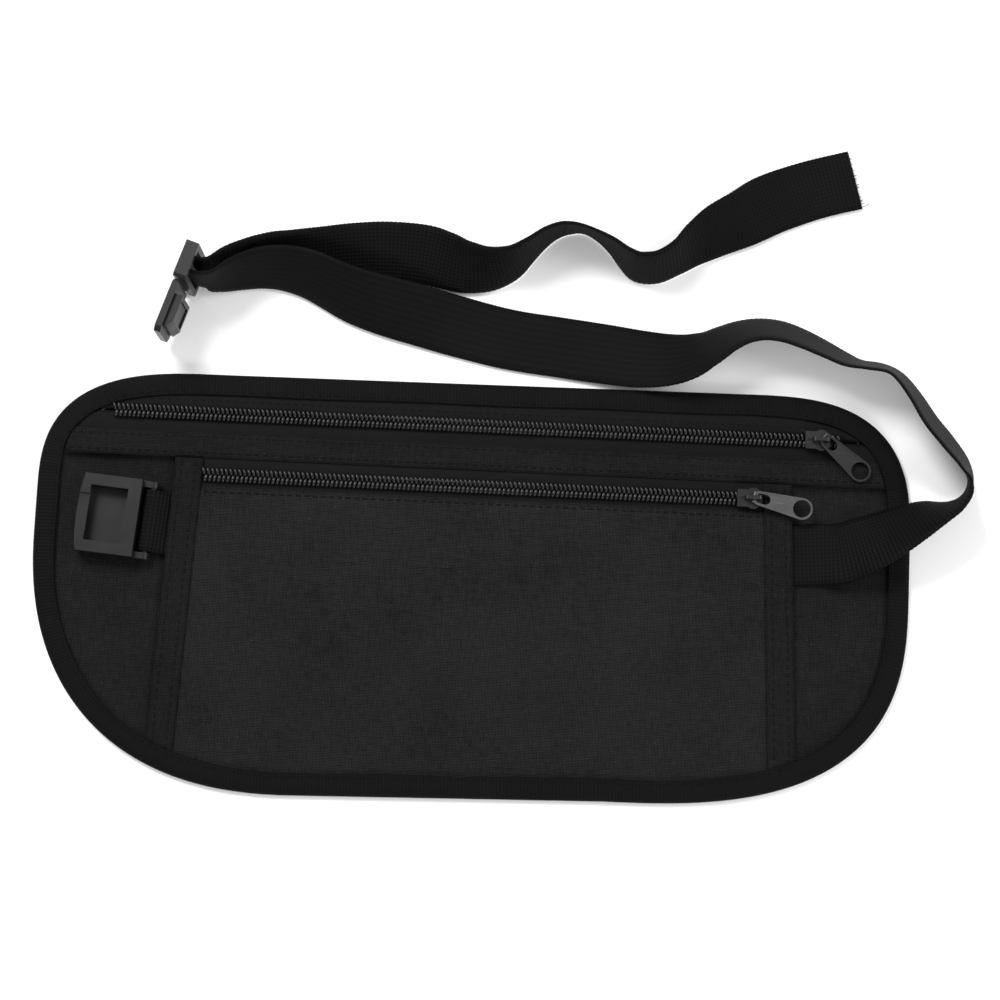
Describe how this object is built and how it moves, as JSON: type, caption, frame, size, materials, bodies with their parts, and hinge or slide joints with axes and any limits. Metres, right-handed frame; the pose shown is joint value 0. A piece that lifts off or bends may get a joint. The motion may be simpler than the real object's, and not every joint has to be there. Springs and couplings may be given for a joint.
{
  "type": "money belt",
  "caption": "Flat rounded zipped fabric pouch on an elastic waist strap, with a zipped front pocket and a centre-release buckle.",
  "frame": {"origin": "outer surface of the back panel, under the middle of the pouch, with the belt lying on its back", "axes": "+X along the zips towards their closed ends, +Y towards the pouch's top edge, +Z out of the front face"},
  "size_m": [0.3016, 0.2185, 0.0262],
  "materials": {
    "canvas": "matte",
    "binding_tape": "matte",
    "zip_tape": "matte",
    "zip_coil": "satin",
    "slider_metal": "satin",
    "webbing": "matte",
    "buckle_plastic": "satin"
  },
  "bodies": {
    "pouch": {"back_panel": "canvas", "front_panel": "canvas", "pocket_panel": "canvas", "hem_band": "canvas", "left_band": "canvas", "right_band": "canvas", "edge_binding": "binding_tape", "main_tape_upper": "zip_tape", "main_tape_lower": "zip_tape", "main_coil_upper": "zip_coil", "main_coil_lower": "zip_coil", "pocket_tape_upper": "zip_tape", "pocket_tape_lower": "zip_tape", "pocket_coil_upper": "zip_coil", "pocket_coil_lower": "zip_coil", "buckle_webbing": "webbing", "waist_strap": "webbing"},
    "main_slider": {"main_slider": "slider_metal"},
    "main_pull": {"main_pull": "slider_metal"},
    "pocket_slider": {"pocket_slider": "slider_metal"},
    "pocket_pull": {"pocket_pull": "slider_metal"},
    "socket_buckle": {"socket_buckle": "buckle_plastic"},
    "plug_frame": {"plug_frame": "buckle_plastic"},
    "plug_tongue": {"plug_tongue": "buckle_plastic"}
  },
  "joints": [
    {"name": "main_zip_slide", "type": "slide", "parent": "pouch", "child": "main_slider", "axis": [-1, 0, 0], "range_m": [0, 0.216]},
    {"name": "main_pull_lift", "type": "hinge", "parent": "main_slider", "child": "main_pull", "pos_m": [0.1098, 0.0538, 0.00605], "axis": [-0.6428, -0.766, 0], "range_deg": [0, 60]},
    {"name": "pocket_zip_slide", "type": "slide", "parent": "pouch", "child": "pocket_slider", "axis": [-1, 0, 0], "range_m": [0, 0.17]},
    {"name": "pocket_pull_lift", "type": "hinge", "parent": "pocket_slider", "child": "pocket_pull", "pos_m": [0.0884, 0.0338, 0.0071], "axis": [-0.1908, -0.9816, 0], "range_deg": [0, 150]},
    {"name": "socket_flip", "type": "hinge", "parent": "pouch", "child": "socket_buckle", "pos_m": [-0.1047, 0.0179, 0.0042], "axis": [0.0819, 0.9966, 0], "range_deg": [0, 120]},
    {"name": "plug_turn", "type": "hinge", "parent": "pouch", "child": "plug_frame", "pos_m": [-0.0952, 0.0988, 0.0132], "axis": [0, 0, 1], "range_deg": [-18, 18]},
    {"name": "tongue_flex", "type": "hinge", "parent": "plug_frame", "child": "plug_tongue", "pos_m": [-0.09844, 0.09207, 0.0132], "axis": [0, 0, -1], "range_deg": [0, 8], "stiffness_Nm_per_rad": 0.05}
  ]
}
